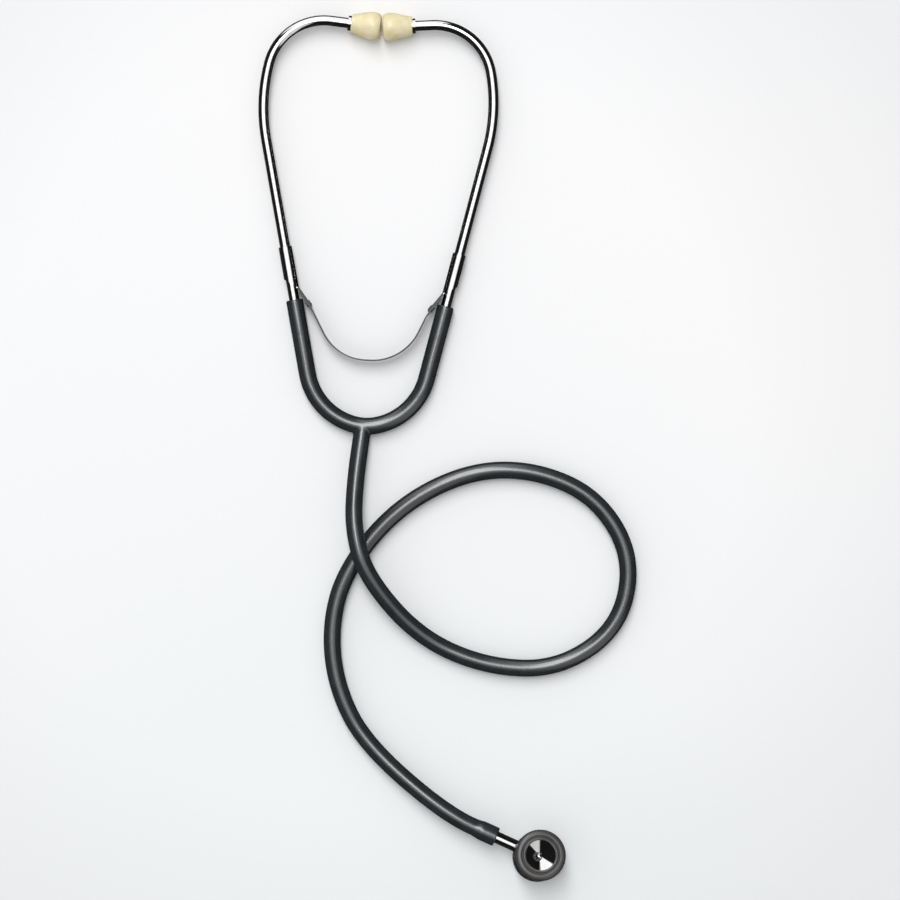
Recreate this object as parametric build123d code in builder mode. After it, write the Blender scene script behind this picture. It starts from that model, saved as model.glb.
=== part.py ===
from build123d import *

import os
from math import atan2, cos, degrees, radians, sin, sqrt, tan

# An old single-tube stethoscope lying flat on a table, in millimetres.
# +Y runs from the fork of the tubing to the ear tips, +X to the right and +Z up.
# The origin is on the table, right under the middle of the fork.

# Fits
running_gap = 0.05  # radial gap of a turning fit
seat_gap = 0.02  # radial gap of a soldered or glued seat
table_gap = 0.02  # the ear tips just clear the table

# Rubber tubing
tube_od = 9.0
fork_radius = 34.0  # centreline bend of each arm
fork_rise = 15.0  # degrees that an arm climbs as it leaves the middle
fork_floor_radius = 26.0  # bend where the two arms run into each other
trunk_x = -1.0  # the trunk leaves the arms just left of the middle
trunk_lean = 5.5  # degrees that the trunk leans to the left
trunk_climb = 7.0  # degrees that it rises towards the crossing
trunk_length = 14.0

# Ear tubes, measured from the rubber mouth that holds each one
mouth_x = 40.0
mouth_y = 66.0
leg_lean = 12.4  # degrees outwards
ear_tube_od = 5.3
ear_tube_wall = 0.7
ear_tube_inset = 16.0  # length hidden in the rubber
leg_length = 86.0
shoulder_radius = 95.0
shoulder_turn = 24.4
crook_radius = 30.0
crook_turn = 83.0

# Ear tips and the threaded nipples that carry them
tip_gap = 0.4  # between the two tips' flat faces at rest
tip_od = 14.8
tip_length = 15.5
tip_wall = 1.75  # round the nipple at the back
tip_face_od = 9.0
tip_hole = 2.5
tip_widest = 4.0  # distance of the widest place from the ear end
nipple_wall = 0.53  # round the ear tube
nipple_length = 8.1
nipple_hole = 3.0
collar_step = 0.7
collar_length = 1.5
collar_gap = 0.2  # between the collar and the tip
nipple_seat = 4.2  # length of ear tube that the nipple takes in

# Spring clips, measured along the ear tube from the rubber mouth
sleeve_wall = 0.8
sleeve_top = 28.3
sleeve_inner_foot = 5.2
sleeve_outer_foot = 11.5
sleeve_slit = 1.4
tongue_angle = 25.0  # degrees between the tongue and the ear tube
tongue_thick = 0.9
tongue_root = 6.5
tongue_reach = 6.2

# Leaf spring
leaf_thick = 0.7
leaf_width = 7.0
leaf_root = 3.6
leaf_lead = 8.2  # straight length before the leaf starts to bow
leaf_lead_radius = 10.0
leaf_low_y = 35.8
leaf_left_corner_x = -16.5
leaf_right_corner_x = 19.0
leaf_left_radius = 26.0
leaf_right_radius = 27.0
leaf_rubber_gap = 0.1

# Rivets that hold the leaf to the tongues
rivet_place = 4.0
rivet_od = 1.8
rivet_head_step = 0.6
rivet_head = 0.5

# Stem of the chest piece, measured from the chest piece's own centre
head_x = 101.2
head_y = -221.6
head_lean = 12.0  # degrees that the chest piece leans over, with its rim's edge on the table
stem_angle = 158.0  # degrees from +X, pointing from the chest piece to the tubing
stem_rise = 7.0  # from the rim's face to the stem's axis
stem_od = 6.2
stem_bore = 3.0
stem_inner_end = -4.4
stem_bore_end = -2.2
barb_height = 0.8
barb_length = 3.0
barb_pitch = 3.6
barb_count = 2
barb_start = 27.0
stem_port = 2.2
groove_width = 2.2
groove_depth = 0.5
ring_groove_place = 8.6
cuff_start = 24.5
cuff_wall = 1.2  # over the barbs
cuff_straight = 9.5
cuff_length = 13.5
cuff_lip = 0.6

# Chest piece
blind_gap = 0.8  # past the stem's inner end
boss_wall = 1.55  # round the stem
boss_reach = 11.4
neck_od = 15.0
sound_hole = 2.2
cup_od = 24.8
cup_height = 2.3
cup_land = 1.2
cup_depth = 1.2
bell_mouth = 15.8
bell_wall = 1.0  # at the mouth
bell_flange_step = 1.7
bell_flange_z = 13.9
bell_flange = 1.4
bell_lip_z = 17.6
bell_floor_z = 13.2
neck_top_z = 10.8

# Soft ring on the bell
ring_wall = 2.8  # outside the bell's flange
ring_top_z = 18.5
ring_foot_z = 13.2
ring_crest = 2.5  # from the bell's mouth out to the top of the ring

# Diaphragm and the threaded rim that holds it
rim_wall = 0.55  # round the cup
rim_height = 3.2
rim_lip = 0.8
rim_overlap = 0.9  # width of diaphragm that rests on the lip
rim_edge = 0.3
diaphragm_margin = 0.1  # from the diaphragm's edge to the cup's
diaphragm_thick = 0.28

# Ball, spring and screw that click the chest piece into place
ball_od = 2.0
ball_gap = 0.1  # above the floor of the stem's groove
dimple_extra = 0.2
spring_side = 0.2  # room round the spring
spring_wire = 0.3
spring_turns = 3
screw_step = 0.2  # the screw is wider than the ball's hole all round
screw_length = 1.3
screw_slot = 0.4
o_ring_wire = 0.62

# Route of the main tube: plan points chosen along the photographed tube, and heights
route_plan = [
    (-3.6, -53.6), (4.4, -78.4), (33.5, -109.5), (70.0, -123.5), (108.0, -123.0), (139.0, -99.5),
    (144.5, -62.0), (124.0, -31.0), (90.0, -18.0), (55.0, -20.5), (19.0, -41.0), (-7.0, -75.0),
    (-14.0, -106.0), (-9.0, -138.0), (7.5, -167.0),
]
crossing_points = 2  # the first points stand on top of the returning strand
crossing_gap = 0.5
trunk_lead = 16.0  # first run, straight out of the fork
stem_lead = 16.0  # last run, straight into the cuff
bend_share = 0.45  # part of the shorter run that an arc may use

# Worked-out sizes
tube_bore = ear_tube_od + 2 * running_gap
sleeve_bore = ear_tube_od + 2 * running_gap
lean = radians(leg_lean)
rise = radians(fork_rise)
fork_corner_x = (mouth_x - mouth_y * tan(lean)) / (1 - tan(rise) * tan(lean))
fork_corner_y = fork_corner_x * tan(rise)
fork_floor_y = fork_floor_radius * (1 / cos(rise) - 1)
nipple_od = ear_tube_od + 2 * (seat_gap + nipple_wall)
collar_od = nipple_od + 2 * collar_step
tip_back_od = nipple_od + 2 * (running_gap + tip_wall)
leg_heading = radians(90 - leg_lean)
crook_heading = leg_heading + radians(shoulder_turn)
nose_heading = crook_heading + radians(crook_turn)
shoulder_x = mouth_x + leg_length * cos(leg_heading)
shoulder_y = mouth_y + leg_length * sin(leg_heading)
crook_x = shoulder_x + shoulder_radius * (sin(crook_heading) - sin(leg_heading))
crook_y = shoulder_y - shoulder_radius * (cos(crook_heading) - cos(leg_heading))
nose_x = crook_x + crook_radius * (sin(nose_heading) - sin(crook_heading))
nose_y = crook_y - crook_radius * (cos(nose_heading) - cos(crook_heading))
apex_x = tip_gap / 2 - tip_face_od / 2 * sin(nose_heading)
nose_reach = (nose_x - apex_x) / -cos(nose_heading)
apex_y = nose_y + nose_reach * sin(nose_heading)
headset_tilt = atan2(tip_od / 2 + table_gap - tube_od / 2, apex_y)
collar_face = tip_length + collar_gap
tube_end = collar_face + collar_length - nipple_seat
leaf_offset = leaf_rubber_gap + leaf_thick / 2
tongue_offset = leaf_rubber_gap + leaf_thick + seat_gap + tongue_thick / 2
rivet_head_od = rivet_od + 2 * rivet_head_step
barb_od = stem_od + 2 * barb_height
cuff_od = barb_od + 2 * cuff_wall
cuff_end = cuff_start + cuff_length
stem_end = barb_start + barb_count * barb_pitch
groove_floor = stem_od / 2 - groove_depth
boss_od = stem_od + 2 * (running_gap + boss_wall)
head_wall_x = blind_gap - stem_inner_end
rim_od = cup_od + 2 * (running_gap + rim_wall)
diaphragm_od = cup_od - 2 * diaphragm_margin
rim_window = diaphragm_od - 2 * rim_overlap
cup_base = rim_lip + 2 * seat_gap + diaphragm_thick
bell_flare_od = bell_mouth + 2 * bell_wall
bell_flange_od = bell_flare_od + 2 * bell_flange_step
ring_od = bell_flange_od + 2 * ring_wall
ring_crest_od = bell_mouth + 2 * ring_crest
head_tilt = radians(head_lean)
stem_z = stem_rise * cos(head_tilt) + (rim_od / 2 - rim_edge) * sin(head_tilt)
ball_place = groove_floor + ball_gap + ball_od / 2
ball_hole = ball_od + 2 * running_gap
spring_od = ball_hole - 2 * spring_side
screw_od = ball_hole + 2 * screw_step


def headset_plane(hand):
    """Plane of one half of the headset: x outwards, y to the ear tips; hand is 1 right, -1 left."""
    up = (0, -hand * sin(headset_tilt), hand * cos(headset_tilt))
    return Plane(origin=(0, 0, tube_od / 2), x_dir=(hand, 0, 0), z_dir=up)


def leg_plane(hand):
    """Plane at one rubber mouth: x inwards across the ear tube, y up along it."""
    headset = headset_plane(hand)
    across = headset.y_dir * sin(lean) - headset.x_dir * cos(lean)
    return Plane(origin=headset.from_local_coords((mouth_x, mouth_y)), x_dir=across, z_dir=-headset.z_dir)


def nose_plane(hand):
    """Plane at one tip's ear end: x back along the tip's axis, y across it."""
    headset = headset_plane(hand)
    back = headset.x_dir * -cos(nose_heading) - headset.y_dir * sin(nose_heading)
    return Plane(origin=headset.from_local_coords((apex_x, apex_y)), x_dir=back, z_dir=headset.z_dir)


def tongue_plane(hand):
    """Plane at the rubber mouth's inner edge: x away from the rubber, y down along the tongue."""
    leg = leg_plane(hand)
    turn = radians(tongue_angle)
    away = leg.x_dir * cos(turn) + leg.y_dir * sin(turn)
    return Plane(origin=leg.from_local_coords((tube_od / 2, 0)), x_dir=away, z_dir=-leg.z_dir)


def stem_plane():
    """Plane through the stem: x from the chest piece's centre to the tubing, y to the bell."""
    turn = radians(stem_angle)
    along = (cos(turn), sin(turn), 0)
    aside = (sin(turn) * cos(head_tilt), -cos(turn) * cos(head_tilt), -sin(head_tilt))
    return Plane(origin=(head_x, head_y, stem_z), x_dir=along, z_dir=aside)


def head_plane():
    """Plane through the chest piece's middle: x is the radius, y the height above the rim's face."""
    stem = stem_plane()
    return Plane(origin=stem.from_local_coords((0, -stem_rise)), x_dir=stem.x_dir, z_dir=stem.z_dir)


def head_axis():
    """Axis of the chest piece, from the diaphragm to the bell."""
    head = head_plane()
    return Axis(head.origin, head.y_dir)


def stem_axis():
    """Lengthwise axis of the stem, about which the chest piece turns."""
    stem = stem_plane()
    return Axis(stem.origin, stem.x_dir)


def trunk_plane():
    """Plane across the trunk where it leaves the middle of the fork."""
    aside = radians(trunk_lean)
    climb = radians(trunk_climb)
    heading = (-sin(aside) * cos(climb), -cos(aside) * cos(climb), sin(climb))
    return Plane(origin=(trunk_x, fork_floor_y, tube_od / 2), z_dir=heading)


def make_yoke_tubing():
    """Moulded fork: two arms that grip the ear tubes and the start of the trunk."""
    headset = headset_plane(1)
    arms = [(-mouth_x, mouth_y), (-fork_corner_x, fork_corner_y), (0, 0)]
    arms += [(fork_corner_x, fork_corner_y), (mouth_x, mouth_y)]
    with BuildPart() as yoke_tubing:
        for diameter, mode in ((tube_od, Mode.ADD), (tube_bore, Mode.SUBTRACT)):
            with BuildLine(headset) as arm_line:
                FilletPolyline(*arms, radius=[fork_radius, fork_floor_radius, fork_radius])
            with BuildSketch(Plane(origin=arm_line.line @ 0, z_dir=arm_line.line % 0)):
                Circle(diameter / 2)
            sweep(path=arm_line.line, mode=mode)
            with BuildSketch(trunk_plane()):
                Circle(diameter / 2)
            extrude(amount=trunk_length, mode=mode)
    yoke_tubing.part.label = "yoke_tubing"
    export_step(yoke_tubing.part, "parts/yoke_tubing.step")


def main_route():
    """Corner points of the main tube, from the fork to the cuff."""
    floor_z = tube_od / 2
    top_z = floor_z + tube_od + crossing_gap
    trunk = trunk_plane()
    route = [trunk.from_local_coords((0, 0, trunk_length))]
    route.append(trunk.from_local_coords((0, 0, trunk_length + trunk_lead)))
    for count, (x, y) in enumerate(route_plan):
        route.append(Vector(x, y, top_z if count < crossing_points else floor_z))
    stem = stem_plane()
    route.append(stem.from_local_coords((cuff_end + stem_lead, 0)))
    route.append(stem.from_local_coords((cuff_end, 0)))
    return route


def bend_radii(route):
    """Largest tidy radius at each corner of a route."""
    radii = []
    for before, corner, after in zip(route, route[1:], route[2:]):
        turn = radians((corner - before).get_angle(after - corner))
        shorter = min((corner - before).length, (after - corner).length)
        radii.append(bend_share * shorter / tan(turn / 2))
    return radii


def make_main_tube():
    """Single long tube from the fork to the chest piece, looped once over itself."""
    route = main_route()
    radii = bend_radii(route)
    with BuildPart() as main_tube:
        with BuildLine() as centre:
            FilletPolyline(*route, radius=radii)
        with BuildSketch(Plane(origin=centre.line @ 0, z_dir=centre.line % 0)) as section:
            Circle(tube_od / 2)
            Circle(tube_bore / 2, mode=Mode.SUBTRACT)
        sweep(path=centre.line)
    length = sum(edge.length for edge in centre.line.edges())
    print("main tube length", round(length, 1), "tightest radius", round(min(radii), 1))
    print("radii", [round(radius) for radius in radii])
    share = main_tube.part.volume / (section.sketch.area * length)
    print("volume against section times length", round(share, 4))
    main_tube.part.label = "main_tube"
    export_step(main_tube.part, "parts/main_tube.step")


def stem_outline(grow, start, end):
    """Half outline of the stem from start to end, made thicker by grow: (along, radius) points."""
    radius = stem_od / 2 + grow
    points = [(start, radius)]
    for count in range(barb_count):
        foot = barb_start + count * barb_pitch
        points += [(foot, radius), (foot, barb_od / 2 + grow), (foot + barb_length, radius)]
    return points + [(end, radius)]


def make_stem_cuff():
    """End of the tubing, stretched over the barbed stem."""
    plane = stem_plane()
    bore = tube_bore / 2
    cavity_end = stem_end + seat_gap
    inside = stem_outline(seat_gap, cuff_start, cavity_end)
    with BuildPart() as stem_cuff:
        with BuildSketch(plane):
            with BuildLine():
                Polyline(
                    *inside,
                    (cavity_end, bore),
                    (cuff_end, bore),
                    (cuff_end, tube_od / 2),
                    (cuff_start + cuff_straight, cuff_od / 2),
                    (cuff_start + cuff_lip, cuff_od / 2),
                    (cuff_start, cuff_od / 2 - cuff_lip),
                    close=True,
                )
            make_face()
        revolve(axis=stem_axis())
    stem_cuff.part.label = "stem_cuff"
    export_step(stem_cuff.part, "parts/stem_cuff.step")


def make_chest_stem():
    """Hollow stem that carries the chest piece, with a port, a click groove and barbs."""
    plane = stem_plane()
    with BuildPart() as chest_stem:
        with BuildSketch(plane):
            with BuildLine():
                Polyline(
                    (stem_inner_end, 0),
                    *stem_outline(0, stem_inner_end, stem_end),
                    (stem_end, stem_bore / 2),
                    (stem_bore_end, stem_bore / 2),
                    (stem_bore_end, 0),
                    close=True,
                )
            make_face()
        revolve(axis=stem_axis())
        with BuildSketch(plane):
            with Locations((0, groove_floor + groove_depth)):
                Rectangle(groove_width, 2 * groove_depth)
            with Locations((ring_groove_place, stem_od / 2)):
                Rectangle(o_ring_wire + seat_gap, 2 * (o_ring_wire - running_gap))
        revolve(axis=stem_axis(), mode=Mode.SUBTRACT)
        with BuildSketch(Plane(origin=plane.origin, x_dir=plane.x_dir, z_dir=plane.y_dir)):
            Circle(stem_port / 2)
        extrude(amount=stem_od, mode=Mode.SUBTRACT)
        for side in (-1, 1):
            place = plane.origin + plane.z_dir * side * (ball_place - ball_gap - dimple_extra)
            with Locations(place):
                Sphere(ball_od / 2, mode=Mode.SUBTRACT)
    chest_stem.part.label = "chest_stem"
    export_step(chest_stem.part, "parts/chest_stem.step")


def make_stem_o_ring():
    """Rubber seal in the stem's groove."""
    inner = stem_od / 2 + running_gap - o_ring_wire
    with BuildPart() as stem_o_ring:
        with BuildSketch(stem_plane()):
            with Locations((ring_groove_place, inner + o_ring_wire / 2)):
                Circle(o_ring_wire / 2 - seat_gap)
        revolve(axis=stem_axis())
    stem_o_ring.part.label = "stem_o_ring"
    export_step(stem_o_ring.part, "parts/stem_o_ring.step")


def make_leaf_spring():
    """Flat spring that pulls the two ear tubes together."""
    headset = headset_plane(1)
    lows = [headset.from_local_coords((leaf_left_corner_x, leaf_low_y))]
    lows.append(headset.from_local_coords((leaf_right_corner_x, leaf_low_y)))
    ends = {}
    for hand in (-1, 1):
        tongue = tongue_plane(hand)
        ends[hand] = [tongue.from_local_coords((leaf_offset, place)) for place in (-leaf_root, leaf_lead)]
    points = [*ends[-1], *lows, *reversed(ends[1])]
    bends = [leaf_lead_radius, leaf_left_radius, leaf_right_radius, leaf_lead_radius]
    with BuildPart() as leaf_spring:
        with BuildLine() as centre:
            FilletPolyline(*points, radius=bends)
        with BuildSketch(Plane(origin=centre.line @ 0, x_dir=headset.z_dir, z_dir=centre.line % 0)):
            Rectangle(leaf_width, leaf_thick)
        sweep(path=centre.line)
        for hand in (-1, 1):
            with BuildSketch(rivet_plane(hand)):
                Circle(rivet_od / 2 + running_gap)
            extrude(amount=leaf_thick * 2, both=True, mode=Mode.SUBTRACT)
    leaf_spring.part.label = "leaf_spring"
    export_step(leaf_spring.part, "parts/leaf_spring.step")


def rivet_plane(hand):
    """Plane across one rivet, at the middle of the leaf, facing away from the rubber."""
    tongue = tongue_plane(hand)
    place = tongue.from_local_coords((leaf_offset, rivet_place))
    return Plane(origin=place, x_dir=tongue.y_dir, z_dir=tongue.x_dir)


def make_spring_clip(side, hand):
    """Split sleeve round the ear tube, with the tongue that the leaf is riveted to."""
    leg = leg_plane(hand)
    sleeve_radius = sleeve_bore / 2 + sleeve_wall
    across = 2 * sleeve_radius
    foot = Plane(origin=leg.from_local_coords((0, sleeve_inner_foot)), x_dir=leg.x_dir, z_dir=leg.y_dir)
    with BuildPart() as spring_clip:
        with BuildSketch(foot):
            Circle(sleeve_radius)
        extrude(amount=sleeve_top - sleeve_inner_foot)
        with BuildSketch(leg):
            with BuildLine():
                Polyline(
                    (sleeve_radius, sleeve_inner_foot),
                    (-sleeve_radius, sleeve_outer_foot),
                    (-across, sleeve_outer_foot),
                    (-across, sleeve_inner_foot),
                    close=True,
                )
            make_face()
        extrude(amount=across, both=True, mode=Mode.SUBTRACT)
        with BuildSketch(tongue_plane(hand)):
            with Locations((tongue_offset, (tongue_reach - tongue_root) / 2)):
                Rectangle(tongue_thick, tongue_reach + tongue_root)
        extrude(amount=leaf_width / 2, both=True)
        with BuildSketch(leg):
            with Locations((-sleeve_radius, sleeve_top / 2)):
                Rectangle(sleeve_radius, sleeve_top)
        extrude(amount=sleeve_slit / 2, both=True, mode=Mode.SUBTRACT)
        with BuildSketch(Plane(origin=leg.origin, x_dir=leg.x_dir, z_dir=leg.y_dir)):
            Circle(sleeve_bore / 2)
        extrude(amount=sleeve_top, mode=Mode.SUBTRACT)
        with BuildSketch(rivet_plane(hand)):
            Circle(rivet_od / 2 + seat_gap)
        extrude(amount=leaf_thick + 2 * tongue_thick, mode=Mode.SUBTRACT)
    spring_clip.part.label = f"{side}_spring_clip"
    export_step(spring_clip.part, f"parts/{side}_spring_clip.step")


def make_clip_rivet(side, hand):
    """Rivet through the leaf and the tongue, with a flat head on both sides."""
    plane = rivet_plane(hand)
    low = -leaf_thick / 2 - seat_gap
    high = leaf_thick / 2 + 2 * seat_gap + tongue_thick
    with BuildPart() as clip_rivet:
        with BuildSketch(plane.offset(low)):
            Circle(rivet_od / 2)
        extrude(amount=high - low)
        with BuildSketch(plane.offset(low)):
            Circle(rivet_head_od / 2)
        extrude(amount=-rivet_head)
        with BuildSketch(plane.offset(high)):
            Circle(rivet_head_od / 2)
        extrude(amount=rivet_head)
    clip_rivet.part.label = f"{side}_clip_rivet"
    export_step(clip_rivet.part, f"parts/{side}_clip_rivet.step")


def make_ear_tube(side, hand):
    """Bent metal ear tube, from inside the rubber to inside the nipple."""
    with BuildPart() as ear_tube:
        with BuildLine(leg_plane(hand)) as centre:
            leg = Line((0, -ear_tube_inset), (0, leg_length))
            shoulder = JernArc(leg @ 1, leg % 1, shoulder_radius, -shoulder_turn)
            crook = JernArc(shoulder @ 1, shoulder % 1, crook_radius, -crook_turn)
            Line(crook @ 1, crook @ 1 + (crook % 1) * (nose_reach - tube_end))
        with BuildSketch(Plane(origin=centre.line @ 0, z_dir=centre.line % 0)):
            Circle(ear_tube_od / 2)
            Circle(ear_tube_od / 2 - ear_tube_wall, mode=Mode.SUBTRACT)
        sweep(path=centre.line)
    ear_tube.part.label = f"{side}_ear_tube"
    export_step(ear_tube.part, f"parts/{side}_ear_tube.step")


def make_tip_nipple(side, hand):
    """Threaded nipple on the ear tube's end, with a collar; threads are left plain."""
    plane = nose_plane(hand)
    inner_end = collar_face - nipple_length
    seat = ear_tube_od / 2 + seat_gap
    with BuildPart() as tip_nipple:
        with BuildSketch(plane):
            with BuildLine():
                Polyline(
                    (inner_end, nipple_hole / 2),
                    (inner_end, nipple_od / 2),
                    (collar_face, nipple_od / 2),
                    (collar_face, collar_od / 2),
                    (collar_face + collar_length, collar_od / 2),
                    (collar_face + collar_length, seat),
                    (tube_end - seat_gap, seat),
                    (tube_end - seat_gap, nipple_hole / 2),
                    close=True,
                )
            make_face()
        revolve(axis=Axis(plane.origin, plane.x_dir))
    tip_nipple.part.label = f"{side}_tip_nipple"
    export_step(tip_nipple.part, f"parts/{side}_tip_nipple.step")


def make_ear_tip(side, hand):
    """Hard ear tip: an olive with a socket for the nipple and a sound hole."""
    plane = nose_plane(hand)
    widest = tip_od / 2
    socket = nipple_od / 2 + running_gap
    socket_floor = collar_face - nipple_length - collar_gap
    with BuildPart() as ear_tip:
        with BuildSketch(plane):
            with BuildLine():
                Line((0, tip_hole / 2), (0, tip_face_od / 2))
                Bezier(
                    (0, tip_face_od / 2),
                    (0, (tip_face_od / 2 + 2 * widest) / 3),
                    (tip_widest / 3, widest),
                    (tip_widest, widest),
                )
                Bezier(
                    (tip_widest, widest),
                    ((3 * tip_widest + tip_length) / 4, widest),
                    ((tip_widest + tip_length) / 2, (widest + tip_back_od / 2) / 2),
                    (tip_length, tip_back_od / 2),
                )
                Polyline(
                    (tip_length, tip_back_od / 2),
                    (tip_length, socket),
                    (socket_floor, socket),
                    (socket_floor, tip_hole / 2),
                    (0, tip_hole / 2),
                )
            make_face()
        revolve(axis=Axis(plane.origin, plane.x_dir))
    ear_tip.part.label = f"{side}_ear_tip"
    export_step(ear_tip.part, f"parts/{side}_ear_tip.step")


def make_chest_body():
    """Turned body of the chest piece: bell on top, diaphragm cup below, hole for the stem."""
    plane = stem_plane()
    hole = sound_hole / 2
    cup_top = cup_base + cup_height
    with BuildPart() as chest_body:
        with BuildSketch(head_plane()):
            with BuildLine():
                Polyline(
                    (hole, cup_base + cup_depth),
                    (cup_od / 2 - cup_land, cup_base + cup_depth / 2),
                    (cup_od / 2 - cup_land, cup_base),
                    (cup_od / 2, cup_base),
                    (cup_od / 2, cup_top),
                    (neck_od / 2 + cup_depth, cup_top),
                    (neck_od / 2, cup_top + cup_depth),
                    (neck_od / 2, neck_top_z),
                    (bell_flare_od / 2, bell_flange_z),
                    (bell_flange_od / 2, bell_flange_z),
                    (bell_flange_od / 2, bell_flange_z + bell_flange),
                    (bell_flare_od / 2, bell_flange_z + bell_flange),
                    (bell_flare_od / 2, bell_lip_z),
                    (bell_mouth / 2, bell_lip_z),
                    (hole, bell_floor_z),
                    close=True,
                )
            make_face()
        revolve(axis=head_axis())
        with BuildSketch(Plane(origin=plane.origin, z_dir=plane.x_dir)):
            Circle(boss_od / 2)
        extrude(amount=boss_reach)
        with BuildSketch(Plane(origin=plane.from_local_coords((-head_wall_x, 0)), z_dir=plane.x_dir)):
            Circle(stem_od / 2 + running_gap)
        extrude(amount=head_wall_x + boss_reach, mode=Mode.SUBTRACT)
        with BuildSketch(Plane(origin=plane.origin, z_dir=plane.z_dir)):
            Circle(ball_hole / 2)
        extrude(amount=neck_od, mode=Mode.SUBTRACT)
        with BuildSketch(Plane(origin=plane.origin + plane.z_dir * screw_inner(), z_dir=plane.z_dir)):
            Circle(screw_od / 2)
        extrude(amount=neck_od, mode=Mode.SUBTRACT)
    chest_body.part.label = "chest_body"
    export_step(chest_body.part, "parts/chest_body.step")


def screw_inner():
    """Distance of the click screw's inner face from the stem's axis."""
    widest = neck_od / 2
    return sqrt(widest**2 - (screw_od / 2) ** 2) - screw_length


def make_bell_ring():
    """Soft ring snapped over the bell's flange, so that the bell is not cold on the skin."""
    seat = bell_flare_od / 2 + seat_gap
    flange = bell_flange_od / 2 + seat_gap
    flange_low = bell_flange_z - seat_gap
    flange_top = bell_flange_z + bell_flange + seat_gap
    lip = bell_lip_z + seat_gap
    height = ring_top_z - ring_foot_z
    with BuildPart() as bell_ring:
        with BuildSketch(head_plane()):
            with BuildLine():
                Polyline(
                    (seat, flange_top),
                    (seat, lip),
                    (bell_mouth / 2, lip),
                    (bell_mouth / 2, lip + (ring_top_z - lip) / 3),
                )
                Spline(
                    (bell_mouth / 2, lip + (ring_top_z - lip) / 3),
                    (ring_crest_od / 2, ring_top_z),
                    (ring_od / 2 - height / 8, ring_top_z - height / 6),
                    (ring_od / 2, ring_foot_z + height / 2),
                    (ring_od / 2 - height / 8, ring_foot_z),
                )
                Polyline(
                    (ring_od / 2 - height / 8, ring_foot_z),
                    (seat + (flange - seat) / 4, ring_foot_z),
                    (seat + (flange - seat) / 4, flange_low),
                    (flange, flange_low),
                    (flange, flange_top),
                    (seat, flange_top),
                )
            make_face()
        revolve(axis=head_axis())
    bell_ring.part.label = "bell_ring"
    export_step(bell_ring.part, "parts/bell_ring.step")


def make_diaphragm():
    """Thin stiff disc that closes the cup."""
    head = head_plane()
    low = head.from_local_coords((0, rim_lip + seat_gap))
    with BuildPart() as diaphragm:
        with BuildSketch(Plane(origin=low, z_dir=head.y_dir)):
            Circle(diaphragm_od / 2)
        extrude(amount=diaphragm_thick)
    diaphragm.part.label = "diaphragm"
    export_step(diaphragm.part, "parts/diaphragm.step")


def make_diaphragm_rim():
    """Threaded rim that clamps the diaphragm against the cup; threads are left plain."""
    wall = cup_od / 2 + running_gap
    with BuildPart() as diaphragm_rim:
        with BuildSketch(head_plane()):
            with BuildLine():
                Polyline(
                    (rim_window / 2, 0),
                    (rim_od / 2 - rim_edge, 0),
                    (rim_od / 2, rim_edge),
                    (rim_od / 2, rim_height),
                    (wall, rim_height),
                    (wall, rim_lip),
                    (rim_window / 2, rim_lip),
                    close=True,
                )
            make_face()
        revolve(axis=head_axis())
    diaphragm_rim.part.label = "diaphragm_rim"
    export_step(diaphragm_rim.part, "parts/diaphragm_rim.step")


def make_detent_ball():
    """Steel ball that clicks into the stem's dimples and keeps the chest piece on the stem."""
    plane = stem_plane()
    with BuildPart() as detent_ball:
        with Locations(plane.origin + plane.z_dir * ball_place):
            Sphere(ball_od / 2)
    detent_ball.part.label = "detent_ball"
    export_step(detent_ball.part, "parts/detent_ball.step")


def make_detent_spring():
    """Small coil spring between the ball and the screw."""
    plane = stem_plane()
    start = ball_place + ball_od / 2 + spring_wire / 2 + seat_gap
    height = screw_inner() - seat_gap - spring_wire / 2 - start
    radius = (spring_od - spring_wire) / 2
    foot = plane.origin + plane.z_dir * start
    with BuildPart() as detent_spring:
        with BuildLine() as coil:
            Helix(height / spring_turns, height, radius, center=foot, direction=plane.z_dir)
        with BuildSketch(Plane(origin=coil.line @ 0, z_dir=coil.line % 0)):
            Circle(spring_wire / 2)
        sweep(path=coil.line, is_frenet=True)
    detent_spring.part.label = "detent_spring"
    export_step(detent_spring.part, "parts/detent_spring.step")


def make_detent_screw():
    """Slotted grub screw behind the click spring."""
    plane = stem_plane()
    base = Plane(origin=plane.origin + plane.z_dir * screw_inner(), x_dir=plane.x_dir, z_dir=plane.z_dir)
    with BuildPart() as detent_screw:
        with BuildSketch(base):
            Circle(screw_od / 2 - seat_gap)
        extrude(amount=screw_length)
        with BuildSketch(base.offset(screw_length)):
            Rectangle(screw_slot, screw_od)
        extrude(amount=-screw_slot, mode=Mode.SUBTRACT)
    detent_screw.part.label = "detent_screw"
    export_step(detent_screw.part, "parts/detent_screw.step")


def main():
    """Make every piece and write one file for each."""
    os.makedirs("parts", exist_ok=True)
    make_yoke_tubing()
    make_main_tube()
    make_stem_cuff()
    make_chest_stem()
    make_stem_o_ring()
    make_leaf_spring()
    for side, hand in (("left", -1), ("right", 1)):
        make_spring_clip(side, hand)
        make_clip_rivet(side, hand)
        make_ear_tube(side, hand)
        make_tip_nipple(side, hand)
        make_ear_tip(side, hand)
    make_chest_body()
    make_bell_ring()
    make_diaphragm()
    make_diaphragm_rim()
    make_detent_ball()
    make_detent_spring()
    make_detent_screw()
    print("headset tilt", round(degrees(headset_tilt), 2))


main()
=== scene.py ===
"""Old single-tube stethoscope lying flat on a table, dressed round its fixed frame."""

import logging
from dataclasses import dataclass, field
from enum import Enum
from math import atan2, cos, degrees, hypot, pi, radians, sin, tan
from typing import Any, Iterable, Optional, Sequence

import bmesh
import bpy
from mathutils import Matrix, Vector


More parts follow.
